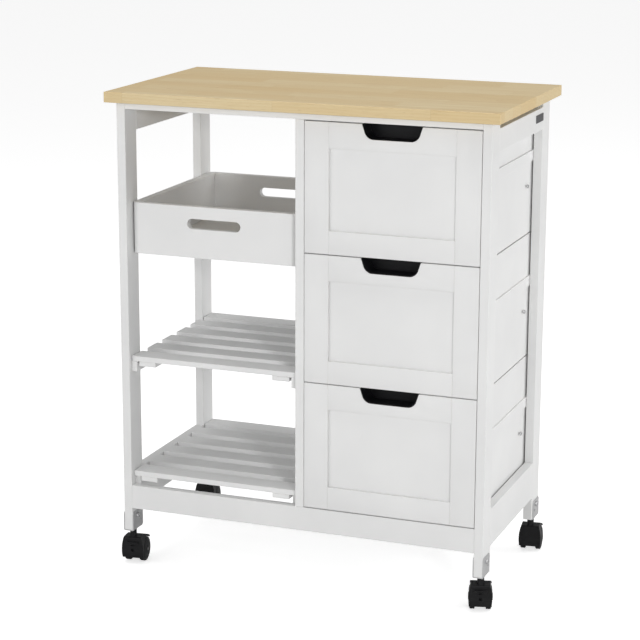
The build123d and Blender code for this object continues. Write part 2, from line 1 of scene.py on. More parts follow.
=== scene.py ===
# %% Load the solid model
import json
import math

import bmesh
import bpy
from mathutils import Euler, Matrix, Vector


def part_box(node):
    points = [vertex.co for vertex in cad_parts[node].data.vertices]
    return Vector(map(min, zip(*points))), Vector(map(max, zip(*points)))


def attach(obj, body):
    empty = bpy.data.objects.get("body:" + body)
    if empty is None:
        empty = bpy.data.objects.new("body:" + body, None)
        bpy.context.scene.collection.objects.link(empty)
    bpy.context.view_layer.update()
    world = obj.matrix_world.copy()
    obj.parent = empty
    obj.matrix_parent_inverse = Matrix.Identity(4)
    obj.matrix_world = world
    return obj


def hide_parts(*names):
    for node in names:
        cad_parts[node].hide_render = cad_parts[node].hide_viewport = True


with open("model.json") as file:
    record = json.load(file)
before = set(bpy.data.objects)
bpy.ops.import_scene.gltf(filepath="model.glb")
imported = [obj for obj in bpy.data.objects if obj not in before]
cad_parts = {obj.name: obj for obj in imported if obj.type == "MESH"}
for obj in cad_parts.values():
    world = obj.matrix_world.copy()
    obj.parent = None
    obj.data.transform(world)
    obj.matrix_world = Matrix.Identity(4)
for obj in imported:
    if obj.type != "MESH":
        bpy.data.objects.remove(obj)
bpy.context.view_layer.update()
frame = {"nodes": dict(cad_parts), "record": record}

# %% [markdown]
# # A kitchen island cart
# The cart is a white painted wooden frame on four casters, with a honey-coloured
# solid wood top, three drawers on the right, and a tray and two slatted shelves on
# the left. The solid model that was just loaded gives every board its place.
# Boards that are already right keep their own mesh and get a finish. Small things
# that carry the close-up detail, such as drawer fronts, finger pockets, wheels and
# screws, are modelled again here and ride on the same moving bodies.

MM = 0.001
scene = bpy.context.scene
nodes = frame["nodes"]

# %% [markdown]
# ## Wiring helpers
# A procedural material is a small network of nodes. Small helpers keep the recipes
# short. They add a node, join or set a socket, do a maths step, stretch coordinates,
# make a noise, stretch a range and mix two colours.

# %% Node helpers
def add(tree, kind, **options):
    """Add a shader node and set its options."""
    made = tree.nodes.new("ShaderNode" + kind)
    for name, value in options.items():
        setattr(made, name, value)
    return made


def put(tree, socket, value):
    """Link a socket to another one, or set it to a constant."""
    if isinstance(value, bpy.types.NodeSocket):
        tree.links.new(value, socket)
    else:
        socket.default_value = value


def calc(tree, operation, first, second=0.0, third=None):
    """One maths step on two or three values. Returns its output socket."""
    step = add(tree, "Math", operation=operation)
    put(tree, step.inputs[0], first)
    put(tree, step.inputs[1], second)
    if third is not None:
        put(tree, step.inputs[2], third)
    return step.outputs[0]


def scaled(tree, vector, factors):
    """Stretch coordinates by a factor on each axis."""
    step = add(tree, "VectorMath", operation="MULTIPLY")
    put(tree, step.inputs[0], vector)
    put(tree, step.inputs[1], factors)
    return step.outputs[0]


def noise(tree, vector, scale, detail=2.0, roughness=0.5):
    """Soft random pattern from 0 to 1."""
    step = add(tree, "TexNoise")
    put(tree, step.inputs["Vector"], vector)
    put(tree, step.inputs["Scale"], scale)
    put(tree, step.inputs["Detail"], detail)
    put(tree, step.inputs["Roughness"], roughness)
    return step.outputs["Fac"]


def spread(tree, value, low, high, to_low=0.0, to_high=1.0):
    """Stretch the range low to high onto another range, with the ends cut off."""
    step = add(tree, "MapRange", clamp=True)
    for socket, number in zip(step.inputs[1:5], (low, high, to_low, to_high)):
        put(tree, socket, number)
    put(tree, step.inputs[0], value)
    return step.outputs[0]


def blend_colour(tree, share, first, second):
    """Mix two colours by a share."""
    step = add(tree, "Mix", data_type="RGBA")
    put(tree, step.inputs[0], share)
    put(tree, step.inputs[6], first)
    put(tree, step.inputs[7], second)
    return step.outputs[2]


print("helpers ready")

# %% [markdown]
# ## Effects that several finishes share
# Edge wear, wood figure and the skin of a rolled paint film turn up in more than one
# finish. Each is built once as a node group with named inputs and outputs, and each
# finish places it with its own values.

# %% Start and close a node group
def open_group(name, inputs, outputs):
    """A node group with the named sockets. Returns its tree, input and output node."""
    group = bpy.data.node_groups.new(name, "ShaderNodeTree")
    for label, kind in inputs:
        group.interface.new_socket(name=label, in_out="INPUT", socket_type="NodeSocket" + kind)
    for label, kind in outputs:
        group.interface.new_socket(name=label, in_out="OUTPUT", socket_type="NodeSocket" + kind)
    return group, group.nodes.new("NodeGroupInput"), group.nodes.new("NodeGroupOutput")


def use_group(tree, group, **values):
    """Place a group in a material and set its inputs by name."""
    placed = add(tree, "Group", node_tree=group)
    for name, value in values.items():
        put(tree, placed.inputs[name.replace("_", " ")], value)
    return placed


# %% [markdown]
# Paint is thinnest on a corner, and hands rub it there first. The Bevel node returns
# the normal that a rounded corner would have. Where that differs from the true normal
# there is an edge, and a noise breaks the mask up so that it looks rubbed, not drawn.
# The Bevel node rounds inner creases as well, so the mask covers creases too. In the
# white paint the darker colour it puts there is painted shade, not wear.

# %% Edge wear and crease mask
edge_wear_and_crease, given, result = open_group(
    "edge wear and crease",
    [("Vector", "Vector"), ("Radius", "Float"), ("Patch Scale", "Float"), ("Amount", "Float")],
    [("Mask", "Float")])
soft_corner = add(edge_wear_and_crease, "Bevel", samples=4)
put(edge_wear_and_crease, soft_corner.inputs["Radius"], given.outputs["Radius"])
surface = add(edge_wear_and_crease, "NewGeometry")
closeness = add(edge_wear_and_crease, "VectorMath", operation="DOT_PRODUCT")
put(edge_wear_and_crease, closeness.inputs[0], soft_corner.outputs[0])
put(edge_wear_and_crease, closeness.inputs[1], surface.outputs["Normal"])
edge = spread(edge_wear_and_crease, closeness.outputs["Value"], 0.995, 0.90)
patches = noise(edge_wear_and_crease, given.outputs["Vector"], given.outputs["Patch Scale"], 4.0, 0.6)
worn_or_creased = calc(edge_wear_and_crease, "MULTIPLY", edge, spread(edge_wear_and_crease, patches, 0.42, 0.62))
put(edge_wear_and_crease, result.inputs["Mask"], calc(edge_wear_and_crease, "MULTIPLY", worn_or_creased, given.outputs["Amount"]))
print("group", edge_wear_and_crease.name)

# %% [markdown]
# Wood is made of growth rings round a pith that runs along the grain. Taking the
# distance from a line far below the board, bent a little by a slow noise, gives
# cathedral lines on the faces and arcs on the end grain from one formula. Fibres and
# pores are noises pulled long in the grain direction, which is X inside this group.

# %% Wood figure
wood_figure, given, result = open_group(
    "wood figure",
    [("Vector", "Vector"), ("Ring Width", "Float")],
    [("Rings", "Float"), ("Fibre", "Float"), ("Pores", "Float")])
slow = add(wood_figure, "TexNoise")
stretched = scaled(wood_figure, given.outputs["Vector"], (3.0, 14.0, 14.0))
put(wood_figure, slow.inputs["Vector"], stretched)
put(wood_figure, slow.inputs["Scale"], 1.0)
wander = add(wood_figure, "VectorMath", operation="MULTIPLY_ADD")
put(wood_figure, wander.inputs[0], slow.outputs["Color"])
put(wood_figure, wander.inputs[1], (0.0, 0.035, 0.035))
put(wood_figure, wander.inputs[2], scaled(wood_figure, given.outputs["Vector"], (0.0, 1.0, 1.0)))
radius = add(wood_figure, "VectorMath", operation="LENGTH")
put(wood_figure, radius.inputs[0], wander.outputs[0])
turns = calc(wood_figure, "DIVIDE", radius.outputs["Value"], given.outputs["Ring Width"])
ring = calc(wood_figure, "FRACT", turns)
put(wood_figure, result.inputs["Rings"], calc(wood_figure, "POWER", ring, 2.5))
drawn_out = scaled(wood_figure, given.outputs["Vector"], (14.0, 700.0, 700.0))
fibre = noise(wood_figure, drawn_out, 1.0, 3.0, 0.65)
put(wood_figure, result.inputs["Fibre"], fibre)
thin = scaled(wood_figure, given.outputs["Vector"], (70.0, 1500.0, 1500.0))
dashes = noise(wood_figure, thin, 1.0, 1.0)
put(wood_figure, result.inputs["Pores"], spread(wood_figure, dashes, 0.66, 0.74))
print("group", wood_figure.name)

# %% [markdown]
# Sprayed or rolled paint levels out to a fine orange peel, with a slower waviness
# from sanding under it. Both are heights, so a Bump node in the material can use them.

# %% Paint skin
PEEL_SHARE = 0.35
paint_skin, given, result = open_group(
    "paint skin", [("Vector", "Vector")], [("Height", "Float"), ("Tone", "Float")])
peel = noise(paint_skin, given.outputs["Vector"], 620.0, 2.0)
sanding = noise(paint_skin, given.outputs["Vector"], 55.0, 2.0)
height = calc(paint_skin, "MULTIPLY", peel, PEEL_SHARE)
put(paint_skin, result.inputs["Height"], calc(paint_skin, "ADD", height, sanding))
put(paint_skin, result.inputs["Tone"], noise(paint_skin, given.outputs["Vector"], 6.0, 3.0))
print("group", paint_skin.name)

# %% [markdown]
# ## The white paint
# The frame is pale wood under satin white lacquer. Close up the grain still shows as
# a very faint relief along each board, so there is one paint for boards that run
# along X, one for Y and one for Z: they differ only in how the coordinates are turned.
# A fourth, with no grain, is for the thin pressed panels.

# %% A material with its shader
def new_material(name):
    """An empty material. Returns it with its tree, shader and object coordinates."""
    material = bpy.data.materials.new(name)
    material.use_nodes = True
    tree = material.node_tree
    shader = tree.nodes["Principled BSDF"]
    place = add(tree, "TexCoord").outputs["Object"]
    return material, tree, shader, place


def relief(tree, shader, height, depth, strength):
    """Feed a height into the shader's normal."""
    bump = add(tree, "Bump")
    put(tree, bump.inputs["Height"], height)
    put(tree, bump.inputs["Distance"], depth)
    put(tree, bump.inputs["Strength"], strength)
    put(tree, shader.inputs["Normal"], bump.outputs[0])


# %% Paint for boards of each direction
PAINT = (0.775, 0.775, 0.770, 1.0)
PAINT_SHADE = (0.735, 0.735, 0.732, 1.0)
# Bare wood on worn corners; in inner creases the same colour is painted shade.
BARE_EDGE_AND_CREASE_SHADE = (0.60, 0.52, 0.40, 1.0)
TURNS = {"x": (0.0, 0.0, 0.0), "y": (0.0, 0.0, math.pi / 2), "z": (0.0, math.pi / 2, 0.0)}


def painted_wood(name, along):
    """Satin white lacquer with the grain of the board faintly in relief."""
    material, tree, shader, place = new_material(name)
    skin = use_group(tree, paint_skin, Vector=place)
    height = skin.outputs["Height"]
    if along:
        turned = add(tree, "Mapping")
        put(tree, turned.inputs["Vector"], place)
        put(tree, turned.inputs["Rotation"], TURNS[along])
        figure = use_group(tree, wood_figure, Vector=turned.outputs[0], Ring_Width=0.006)
        grain = calc(tree, "MULTIPLY", figure.outputs["Fibre"], 0.55)
        lines = calc(tree, "MULTIPLY", figure.outputs["Rings"], 0.20)
        height = calc(tree, "ADD", calc(tree, "ADD", height, grain), lines)
    tone = spread(tree, skin.outputs["Tone"], 0.35, 0.65)
    colour = blend_colour(tree, tone, PAINT, PAINT_SHADE)
    # The mask darkens worn corners to bare wood, and darkens inner creases as painted shade.
    wear_and_crease_mask = use_group(tree, edge_wear_and_crease, Vector=place, Radius=0.0009, Patch_Scale=38.0, Amount=0.30)
    put(tree, shader.inputs["Base Color"], blend_colour(tree, wear_and_crease_mask.outputs["Mask"], colour, BARE_EDGE_AND_CREASE_SHADE))
    put(tree, shader.inputs["Roughness"], spread(tree, skin.outputs["Tone"], 0.2, 0.8, 0.36, 0.46))
    shader.inputs["Specular IOR Level"].default_value = 0.45
    relief(tree, shader, height, 0.00012, 0.35)
    return material


paint_x = painted_wood("white paint, grain along x", "x")
paint_y = painted_wood("white paint, grain along y", "y")
paint_z = painted_wood("white paint, upright grain", "z")
paint_panel = painted_wood("white paint, plain panel", None)
print("paints", [m.name for m in (paint_x, paint_y, paint_z, paint_panel)])

# %% [markdown]
# ## The solid wood top
# The top is glued up from staves about 46 mm wide that run along the cart, finger
# jointed end to end. A row number from Y, and a block number from X shifted by a
# random amount in each row, name every block. A white noise of those two numbers
# gives each block its own tone and its own place in the tree. A zigzag added to X
# before the blocks are counted makes the finger joints.

# %% Stave numbers
STAVE_WIDTH = 0.04625
SHORTEST_BLOCK = 0.18
LENGTH_SPREAD = 0.10
FINGER = 0.0042
FINGER_REACH = 0.0045
stave_layout, given, result = open_group(
    "stave layout", [("Vector", "Vector")],
    [("Random", "Color"), ("Own Place", "Vector"), ("Joint", "Float")])
axes = add(stave_layout, "SeparateXYZ")
put(stave_layout, axes.inputs[0], given.outputs["Vector"])
rows = calc(stave_layout, "DIVIDE", calc(stave_layout, "ADD", axes.outputs[1], 1.0), STAVE_WIDTH)
row = calc(stave_layout, "FLOOR", rows)
row_random = add(stave_layout, "TexWhiteNoise", noise_dimensions="1D")
put(stave_layout, row_random.inputs["W"], row)
zigzag = calc(stave_layout, "PINGPONG", axes.outputs[1], FINGER / 2)
zigzag = calc(stave_layout, "MULTIPLY", zigzag, FINGER_REACH / FINGER * 2)
slid = calc(stave_layout, "ADD", axes.outputs[0], row_random.outputs["Value"])
length = calc(stave_layout, "MULTIPLY_ADD", row_random.outputs["Value"], LENGTH_SPREAD, SHORTEST_BLOCK)
blocks = calc(stave_layout, "DIVIDE", calc(stave_layout, "ADD", slid, zigzag), length)
block = calc(stave_layout, "FLOOR", blocks)
name_tag = add(stave_layout, "CombineXYZ")
put(stave_layout, name_tag.inputs[0], row)
put(stave_layout, name_tag.inputs[1], block)
block_random = add(stave_layout, "TexWhiteNoise", noise_dimensions="3D")
put(stave_layout, block_random.inputs["Vector"], name_tag.outputs[0])
put(stave_layout, result.inputs["Random"], block_random.outputs["Color"])
jump = add(stave_layout, "VectorMath", operation="MULTIPLY_ADD")
put(stave_layout, jump.inputs[0], block_random.outputs["Color"])
put(stave_layout, jump.inputs[1], (3.0, 0.12, 0.10))
put(stave_layout, jump.inputs[2], given.outputs["Vector"])
put(stave_layout, result.inputs["Own Place"], jump.outputs[0])
row_edge = calc(stave_layout, "MULTIPLY", calc(stave_layout, "PINGPONG", rows, 0.5), STAVE_WIDTH)
block_edge = calc(stave_layout, "MULTIPLY", calc(stave_layout, "PINGPONG", blocks, 0.5), length)
nearest = calc(stave_layout, "MINIMUM", row_edge, block_edge)
put(stave_layout, result.inputs["Joint"], spread(stave_layout, nearest, 0.0004, 0.0, 0.0, 1.0))
top_low, top_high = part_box("top_board")
print("stave layout, rows", round((top_high[1] - top_low[1]) / STAVE_WIDTH))

# %% [markdown]
# Rubberwood is a pale honey with darker, shorter lines. Each block picks a tone
# between a light and a warm one, the rings and fibres darken it slightly, and the
# pores draw short dashes. A thin satin oil seals it, so the gloss is low and even.

# %% Wood top material
LIGHT_WOOD = (0.70, 0.575, 0.345, 1.0)
WARM_WOOD = (0.64, 0.475, 0.235, 1.0)
RING_WOOD = (0.54, 0.37, 0.165, 1.0)
PORE_WOOD = (0.36, 0.22, 0.09, 1.0)
wood_top, tree, shader, place = new_material("honey rubberwood staves")
layout = use_group(tree, stave_layout, Vector=place)
picks = add(tree, "SeparateColor")
put(tree, picks.inputs[0], layout.outputs["Random"])
figure = use_group(tree, wood_figure, Vector=layout.outputs["Own Place"], Ring_Width=0.0055)
colour = blend_colour(tree, picks.outputs[0], LIGHT_WOOD, WARM_WOOD)
broad = noise(tree, scaled(tree, layout.outputs["Own Place"], (5.0, 40.0, 40.0)), 1.0, 3.0)
colour = blend_colour(tree, spread(tree, broad, 0.35, 0.75, 0.0, 0.35), colour, WARM_WOOD)
ring_share = calc(tree, "MULTIPLY", figure.outputs["Rings"], 0.26)
colour = blend_colour(tree, ring_share, colour, RING_WOOD)
fibre_share = spread(tree, figure.outputs["Fibre"], 0.45, 0.75, 0.0, 0.30)
colour = blend_colour(tree, fibre_share, colour, RING_WOOD)
pore_share = calc(tree, "MULTIPLY", figure.outputs["Pores"], 0.35)
colour = blend_colour(tree, pore_share, colour, PORE_WOOD)
joint_share = calc(tree, "MULTIPLY", layout.outputs["Joint"], 0.35)
colour = blend_colour(tree, joint_share, colour, PORE_WOOD)
put(tree, shader.inputs["Base Color"], colour)
put(tree, shader.inputs["Roughness"], spread(tree, figure.outputs["Fibre"], 0.3, 0.8, 0.42, 0.56))
shader.inputs["Coat Roughness"].default_value = 0.35
shader.inputs["Coat Weight"].default_value = 0.12
dents = calc(tree, "MULTIPLY", figure.outputs["Fibre"], 0.6)
dents = calc(tree, "SUBTRACT", dents, figure.outputs["Pores"])
dents = calc(tree, "SUBTRACT", dents, layout.outputs["Joint"])
relief(tree, shader, dents, 0.00012, 0.5)
print("top", wood_top.name)

# %% [markdown]
# ## Plastic and metal
# The finger pockets and the casters are moulded black plastic. A spark-etched mould
# leaves a fine even texture, and handled edges go a little grey. The same
# recipe makes both, with a coarser grain and more rub on the casters.

# %% Moulded plastic
def moulded(name, colour, rubbed, roughness, texture, amount):
    """Black plastic with a fine mould texture and greyed edges."""
    material, tree, shader, place = new_material(name)
    etched = noise(tree, place, texture, 2.0)
    cloudy = noise(tree, place, 30.0, 4.0, 0.6)
    wear_and_crease_mask = use_group(tree, edge_wear_and_crease, Vector=place, Radius=0.0008, Patch_Scale=60.0, Amount=amount)
    tinted = blend_colour(tree, spread(tree, cloudy, 0.3, 0.7, 0.0, 0.25), colour, rubbed)
    put(tree, shader.inputs["Base Color"], blend_colour(tree, wear_and_crease_mask.outputs["Mask"], tinted, rubbed))
    put(tree, shader.inputs["Roughness"],
        spread(tree, cloudy, 0.3, 0.7, roughness - 0.05, roughness + 0.08))
    shader.inputs["Specular IOR Level"].default_value = 0.2
    relief(tree, shader, etched, 0.00010, 0.45)
    return material


pocket_black = moulded("pocket plastic", (0.005, 0.005, 0.006, 1.0), (0.022, 0.022, 0.024, 1.0),
                       0.42, 1500.0, 0.5)
caster_black = moulded("caster plastic", (0.005, 0.005, 0.0055, 1.0), (0.024, 0.024, 0.026, 1.0),
                       0.46, 1100.0, 0.7)
tread_grey = moulded("caster tread", (0.016, 0.016, 0.017, 1.0), (0.06, 0.06, 0.06, 1.0),
                     0.55, 700.0, 0.8)
print("plastics ready")

# %% [markdown]
# Brackets, bolts and screws are zinc plated steel: a cool grey metal with cloudy
# patches where the passivation varies, and faint rolling streaks. The little label
# plate is the same idea in a dark brushed finish, left plain.

# %% Zinc steel and the dark plate
def plated(name, colour, second, roughness, streaks, metallic=1.0):
    """Sheet metal with cloudy patches and rolling streaks."""
    material, tree, shader, place = new_material(name)
    cloudy = noise(tree, place, 170.0, 4.0, 0.65)
    drawn = noise(tree, scaled(tree, place, streaks), 1.0, 2.0)
    shader.inputs["Metallic"].default_value = metallic
    put(tree, shader.inputs["Base Color"], blend_colour(tree, cloudy, colour, second))
    mixed = calc(tree, "ADD", calc(tree, "MULTIPLY", cloudy, 0.6), calc(tree, "MULTIPLY", drawn, 0.4))
    put(tree, shader.inputs["Roughness"],
        spread(tree, mixed, 0.3, 0.7, roughness - 0.08, roughness + 0.10))
    relief(tree, shader, mixed, 0.00006, 0.4)
    return material


zinc = plated("zinc plated steel", (0.50, 0.50, 0.51, 1.0), (0.62, 0.62, 0.62, 1.0), 0.38,
              (2400.0, 2400.0, 120.0))
dark_plate = plated("dark plate", (0.10, 0.10, 0.105, 1.0), (0.15, 0.15, 0.155, 1.0), 0.40,
                    (3000.0, 90.0, 3000.0), 0.7)
print("metals ready")

# %% [markdown]
# ## Giving the boards their finish
# Every board of the solid model is listed once by its grain direction. Assigning
# to the material slots leaves its mesh as it is.

# %% Finish the boards
FINISHES = (
    (wood_top, ("top_board",)),
    (paint_z, ("leg_", "divider_stiles")),
    (paint_x, ("front_top_rail", "front_bottom_rail", "rear_top_rail", "rear_bottom_rail",
               "shelf_upper_slats", "shelf_lower_slats", "tray_front", "tray_back",
               "drawer_upper_back", "drawer_middle_back", "drawer_lower_back")),
    (paint_y, ("side_", "divider_rails", "drawer_runner", "tray_and", "tray_sides",
               "shelf_upper_battens", "shelf_lower_battens",
               "drawer_upper_sides", "drawer_middle_sides", "drawer_lower_sides")),
    (paint_panel, ("tray_floor", "drawer_upper_floor", "drawer_middle_floor",
                   "drawer_lower_floor")),
    (zinc, ("top_board_screws", "caster_brackets", "caster_stems", "caster_front_left_axle",
            "caster_front_right_axle", "caster_rear_left_axle", "caster_rear_right_axle")),
    (caster_black, ("caster_front_left_housing", "caster_front_right_housing",
                    "caster_rear_left_housing", "caster_rear_right_housing")),
)


def finish(target, *materials):
    """Give an object these materials and no others."""
    target.data.materials.clear()
    for material in materials:
        target.data.materials.append(material)


for material, starts in FINISHES:
    found = [name for name in nodes if name.startswith(starts)]
    for name in found:
        finish(nodes[name], material)
    print(material.name, "on", len(found))

# %% [markdown]
# ## Modelling helpers
# Small pieces are modelled with bmesh operators. One helper reads the corners of a
# board, one makes an eased board, one turns a profile on a lathe, and one closes a
# bmesh into an object that sits at the origin, rides on a body and takes a finish.

# %% Board, lathe and object
EASE = dict(affect="EDGES", profile=0.5, material=-1, offset_type="OFFSET", clamp_overlap=True)


def corners(node):
    """Lowest and highest corner of a board of the solid model."""
    low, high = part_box(node)
    return Vector(low), Vector(high)


def board(bm, low, high, ease, slot=0, segments=2):
    """Add a board between two corners, edges rounded, faces on a material slot."""
    made = bmesh.ops.create_cube(bm, size=1.0)["verts"]
    low, high = Vector(low), Vector(high)
    bmesh.ops.scale(bm, vec=high - low, verts=made)
    bmesh.ops.translate(bm, vec=(low + high) / 2, verts=made)
    edges = list({edge for vert in made for edge in vert.link_edges})
    faces = {face for vert in made for face in vert.link_faces}
    eased = bmesh.ops.bevel(bm, geom=edges, offset=ease, segments=segments, **EASE)["faces"]
    for face in [f for f in bm.faces if f in faces] + eased:
        face.material_index = slot


def lathe(bm, profile, centre, axis, steps):
    """Turn a profile of (distance along the axis, radius) pairs about the axis."""
    axis = Vector(axis)
    side = axis.orthogonal().normalized()
    centre = Vector(centre)
    line = [bm.verts.new(centre + axis * along + side * radius) for along, radius in profile]
    edges = [bm.edges.new(pair) for pair in zip(line, line[1:])]
    bmesh.ops.spin(bm, geom=line + edges, cent=centre, axis=axis, angle=math.tau,
                   steps=steps, use_merge=True, use_duplicate=False)
    bmesh.ops.remove_doubles(bm, verts=bm.verts, dist=1e-6)


def close_piece(bm, name, body, slot, replaced, *materials, smooth=35.0):
    """Turn a bmesh into a riding, finished object."""
    bmesh.ops.recalc_face_normals(bm, faces=bm.faces)
    mesh = bpy.data.meshes.new(name)
    bm.to_mesh(mesh)
    bm.free()
    piece = bpy.data.objects.new(name, mesh)
    scene.collection.objects.link(piece)
    finish(piece, *materials)
    mesh.shade_smooth()
    mesh.set_sharp_from_angle(angle=math.radians(smooth))
    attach(piece, body)
    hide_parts(*replaced)
    print(name, len(mesh.polygons), "faces on", body)


# %% [markdown]
# ## Drawer fronts
# Each front is a joined frame of two stiles and two rails round a thin panel that
# sits 5 mm back. The upper rail has a finger cut-out with sloping ends. The boards
# are eased one by one, so a fine line shows at each joint, as it does under paint.
# The upper rail starts as one flat outline of eight corners. Two of them are rounded
# by a vertex bevel, the outline is pulled back into a board, and its long edges are
# eased at the end.

# %% Sizes of a drawer front
FRONT_THICK = 16 * MM
STILE = 41 * MM
UPPER_RAIL = 42 * MM
LOWER_RAIL = 38 * MM
PANEL_BACK = 5 * MM
PANEL_THICK = 6 * MM
EDGE = 0.4 * MM
GRIP_HALF = 50 * MM
GRIP_LOW_HALF = 42.2 * MM
GRIP_DEEP = 24 * MM
GRIP_ROUND = 10.9 * MM
ROUND_STEPS = 8
PANEL_EASE = 0.1 * MM
DRAWERS = ("upper", "middle", "lower")


def outline_to_board(bm, points, rounded, radius, back, ease, slot):
    """A flat outline seen from the front, some corners rounded, made a board."""
    verts = [bm.verts.new(point) for point in points]
    bm.faces.new(verts)
    bmesh.ops.bevel(bm, geom=[verts[i] for i in rounded], offset=radius, segments=ROUND_STEPS,
                    affect="VERTICES", profile=0.5, material=-1, clamp_overlap=True)
    bm.faces.ensure_lookup_table()
    flat = bm.faces[:]
    pulled = bmesh.ops.extrude_face_region(bm, geom=flat)["geom"]
    moved = [item for item in pulled if isinstance(item, bmesh.types.BMVert)]
    bmesh.ops.translate(bm, vec=(0.0, back, 0.0), verts=moved)
    sharp = [edge for edge in bm.edges if len(edge.link_faces) == 2
             and edge.calc_face_angle(0.0) > math.radians(40)]
    bmesh.ops.bevel(bm, geom=sharp, offset=ease, segments=2, **EASE)
    for face in bm.faces:
        face.material_index = slot


def join_into(bm, part):
    """Add one bmesh to another and free it."""
    holder = bpy.data.meshes.new("part")
    part.to_mesh(holder)
    part.free()
    bm.from_mesh(holder)
    bpy.data.meshes.remove(holder)


# %% Build the three fronts
for place in DRAWERS:
    low, high = corners(f"drawer_{place}_front")
    face_y, back_y = low.y, high.y
    middle = (low.x + high.x) / 2
    rail_low, rail_high = low.x + STILE, high.x - STILE
    bm = bmesh.new()
    board(bm, low, (rail_low, back_y, high.z), EDGE, 0)
    board(bm, (rail_high, face_y, low.z), high, EDGE, 0)
    board(bm, (rail_low, face_y, low.z), (rail_high, back_y, low.z + LOWER_RAIL), EDGE, 1)
    panel_low = Vector((rail_low, face_y + PANEL_BACK, low.z + LOWER_RAIL))
    panel_high = Vector((rail_high, face_y + PANEL_BACK + PANEL_THICK, high.z - UPPER_RAIL))
    board(bm, panel_low, panel_high, PANEL_EASE, 2, 1)
    rail = bmesh.new()
    under = high.z - UPPER_RAIL
    cut = high.z - GRIP_DEEP
    outline = [(rail_low, face_y, under), (rail_high, face_y, under), (rail_high, face_y, high.z),
               (middle + GRIP_HALF, face_y, high.z), (middle + GRIP_LOW_HALF, face_y, cut),
               (middle - GRIP_LOW_HALF, face_y, cut), (middle - GRIP_HALF, face_y, high.z),
               (rail_low, face_y, high.z)]
    outline_to_board(rail, outline, (4, 5), GRIP_ROUND, back_y - face_y, EDGE, 1)
    join_into(bm, rail)
    close_piece(bm, f"drawer_{place}_framed_front", f"drawer_{place}", "white_paint",
                [f"drawer_{place}_front"], paint_z, paint_x, paint_panel)

# %% [markdown]
# ## Finger pockets
# The black pocket behind each cut-out is one moulding: a trough that follows the
# cut-out, closed at the back. It starts as an open line with two rounded corners.
# The line is pulled to the rear, its far end is filled, and the skin gets a wall
# inwards and a softened front rim.

# %% Build the pockets
POCKET_WALL = 1.5 * MM
RIM_SOFT = 0.45 * MM
for place in DRAWERS:
    low, high = corners(f"drawer_{place}_grip_pocket")
    middle = (low.x + high.x) / 2
    half = (high.x - low.x) / 2
    low_half = half - (GRIP_HALF - GRIP_LOW_HALF)
    bm = bmesh.new()
    line = [bm.verts.new(point) for point in (
        (middle - half, low.y, high.z), (middle - low_half, low.y, low.z),
        (middle + low_half, low.y, low.z), (middle + half, low.y, high.z))]
    for pair in zip(line, line[1:]):
        bm.edges.new(pair)
    bmesh.ops.bevel(bm, geom=line[1:3], offset=GRIP_ROUND, segments=ROUND_STEPS,
                    affect="VERTICES", profile=0.5, material=-1, clamp_overlap=True)
    pulled = bmesh.ops.extrude_edge_only(bm, edges=bm.edges[:])["geom"]
    moved = [item for item in pulled if isinstance(item, bmesh.types.BMVert)]
    bmesh.ops.translate(bm, vec=(0.0, high.y - low.y, 0.0), verts=moved)
    rear = sorted(moved, key=lambda vert: vert.co.x)
    bmesh.ops.contextual_create(bm, geom=rear)
    bmesh.ops.recalc_face_normals(bm, faces=bm.faces)
    bmesh.ops.solidify(bm, geom=bm.faces[:], thickness=POCKET_WALL)
    bmesh.ops.recalc_face_normals(bm, faces=bm.faces)
    rim = [edge for edge in bm.edges if all(vert.co.y < low.y + 0.2 * MM for vert in edge.verts)
           and len(edge.link_faces) == 2 and edge.calc_face_angle(0.0) > math.radians(50)]
    bmesh.ops.bevel(bm, geom=rim, offset=RIM_SOFT, segments=3, **EASE)
    print("pocket", place, "z", min(v.co.z for v in bm.verts), "to", max(v.co.z for v in bm.verts))
    close_piece(bm, f"drawer_{place}_finger_pocket", f"drawer_{place}", "pocket_plastic",
                [f"drawer_{place}_grip_pocket"], pocket_black)

# %% [markdown]
# ## Screws and bolts
# The screw at the side of each drawer has a pan head with a cross recess, and the
# caster brackets are held by bolts with a low dome head at both ends. A head starts
# as a small cross of five squares. Its border is pushed out to a circle and pulled
# down to a domed skirt, and the cross itself is sunk into the metal.

